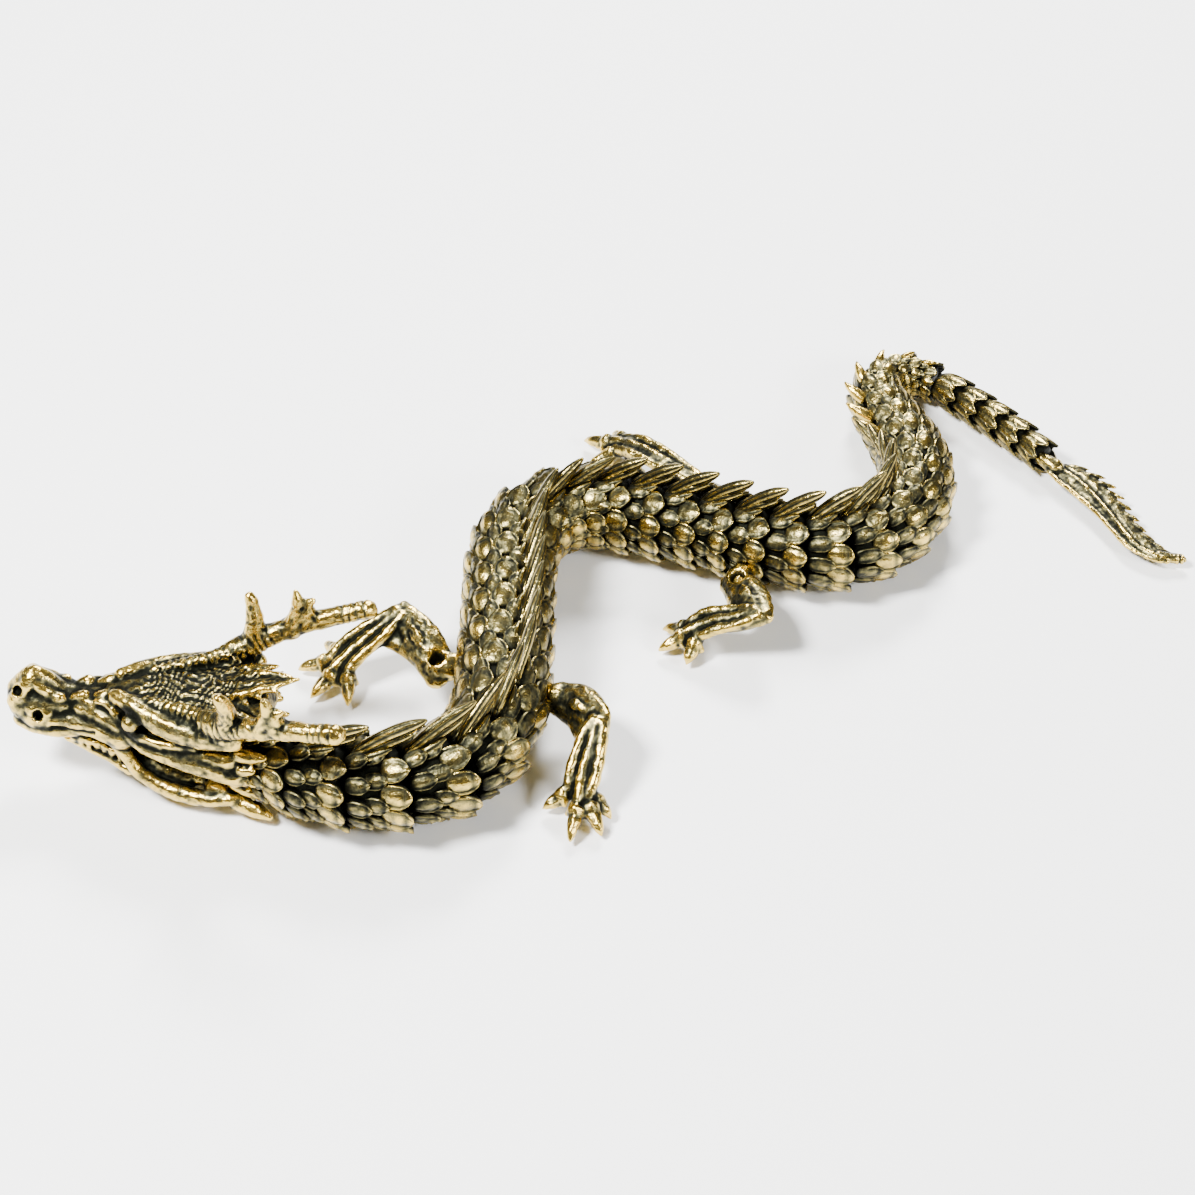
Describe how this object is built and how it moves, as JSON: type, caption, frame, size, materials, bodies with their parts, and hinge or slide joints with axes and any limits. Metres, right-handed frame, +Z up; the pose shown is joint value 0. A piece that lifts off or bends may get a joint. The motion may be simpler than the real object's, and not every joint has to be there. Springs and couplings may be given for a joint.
{
  "type": "dragon sculpture",
  "caption": "Cast-brass dragon ornament with antler horns, a scaled body of linked segments in a long double bend, four clawed legs and a leaf tail.",
  "frame": {"origin": "middle of the footprint of the whole pose, on the surface that the dragon lies on", "axes": "+X from the head to the tail along the longest side, +Z up, +Y to the dragon's right"},
  "size_m": [0.2167, 0.1346, 0.0333],
  "materials": {
    "brass": "antique cast brass, polished on the high spots and dark in the recesses"
  },
  "bodies": {
    "root": {"head": "brass", "body_segment_01": "brass", "body_segment_02": "brass", "body_segment_03": "brass", "body_segment_04": "brass", "body_segment_05": "brass", "body_segment_06": "brass", "body_segment_07": "brass", "body_segment_08": "brass", "body_segment_09": "brass", "body_segment_10": "brass", "body_segment_11": "brass", "body_segment_12": "brass", "body_segment_13": "brass", "body_segment_14": "brass", "body_segment_15": "brass", "body_segment_16": "brass", "body_segment_17": "brass", "body_segment_18": "brass", "body_segment_19": "brass", "body_segment_20": "brass", "body_segment_21": "brass", "body_segment_22": "brass", "body_segment_23": "brass", "body_segment_24": "brass", "body_segment_25": "brass", "body_segment_26": "brass", "body_segment_27": "brass", "body_segment_28": "brass", "body_segment_29": "brass", "body_segment_30": "brass", "body_segment_31": "brass", "body_segment_32": "brass", "body_segment_33": "brass", "body_segment_34": "brass", "body_segment_35": "brass", "tail_link_1": "brass", "tail_link_2": "brass", "tail_link_3": "brass", "tail_link_4": "brass", "tail_link_5": "brass", "tail_leaf": "brass", "front_leg_left": "brass", "front_leg_right": "brass", "hind_leg_left": "brass", "hind_leg_right": "brass"}
  },
  "joints": []
}
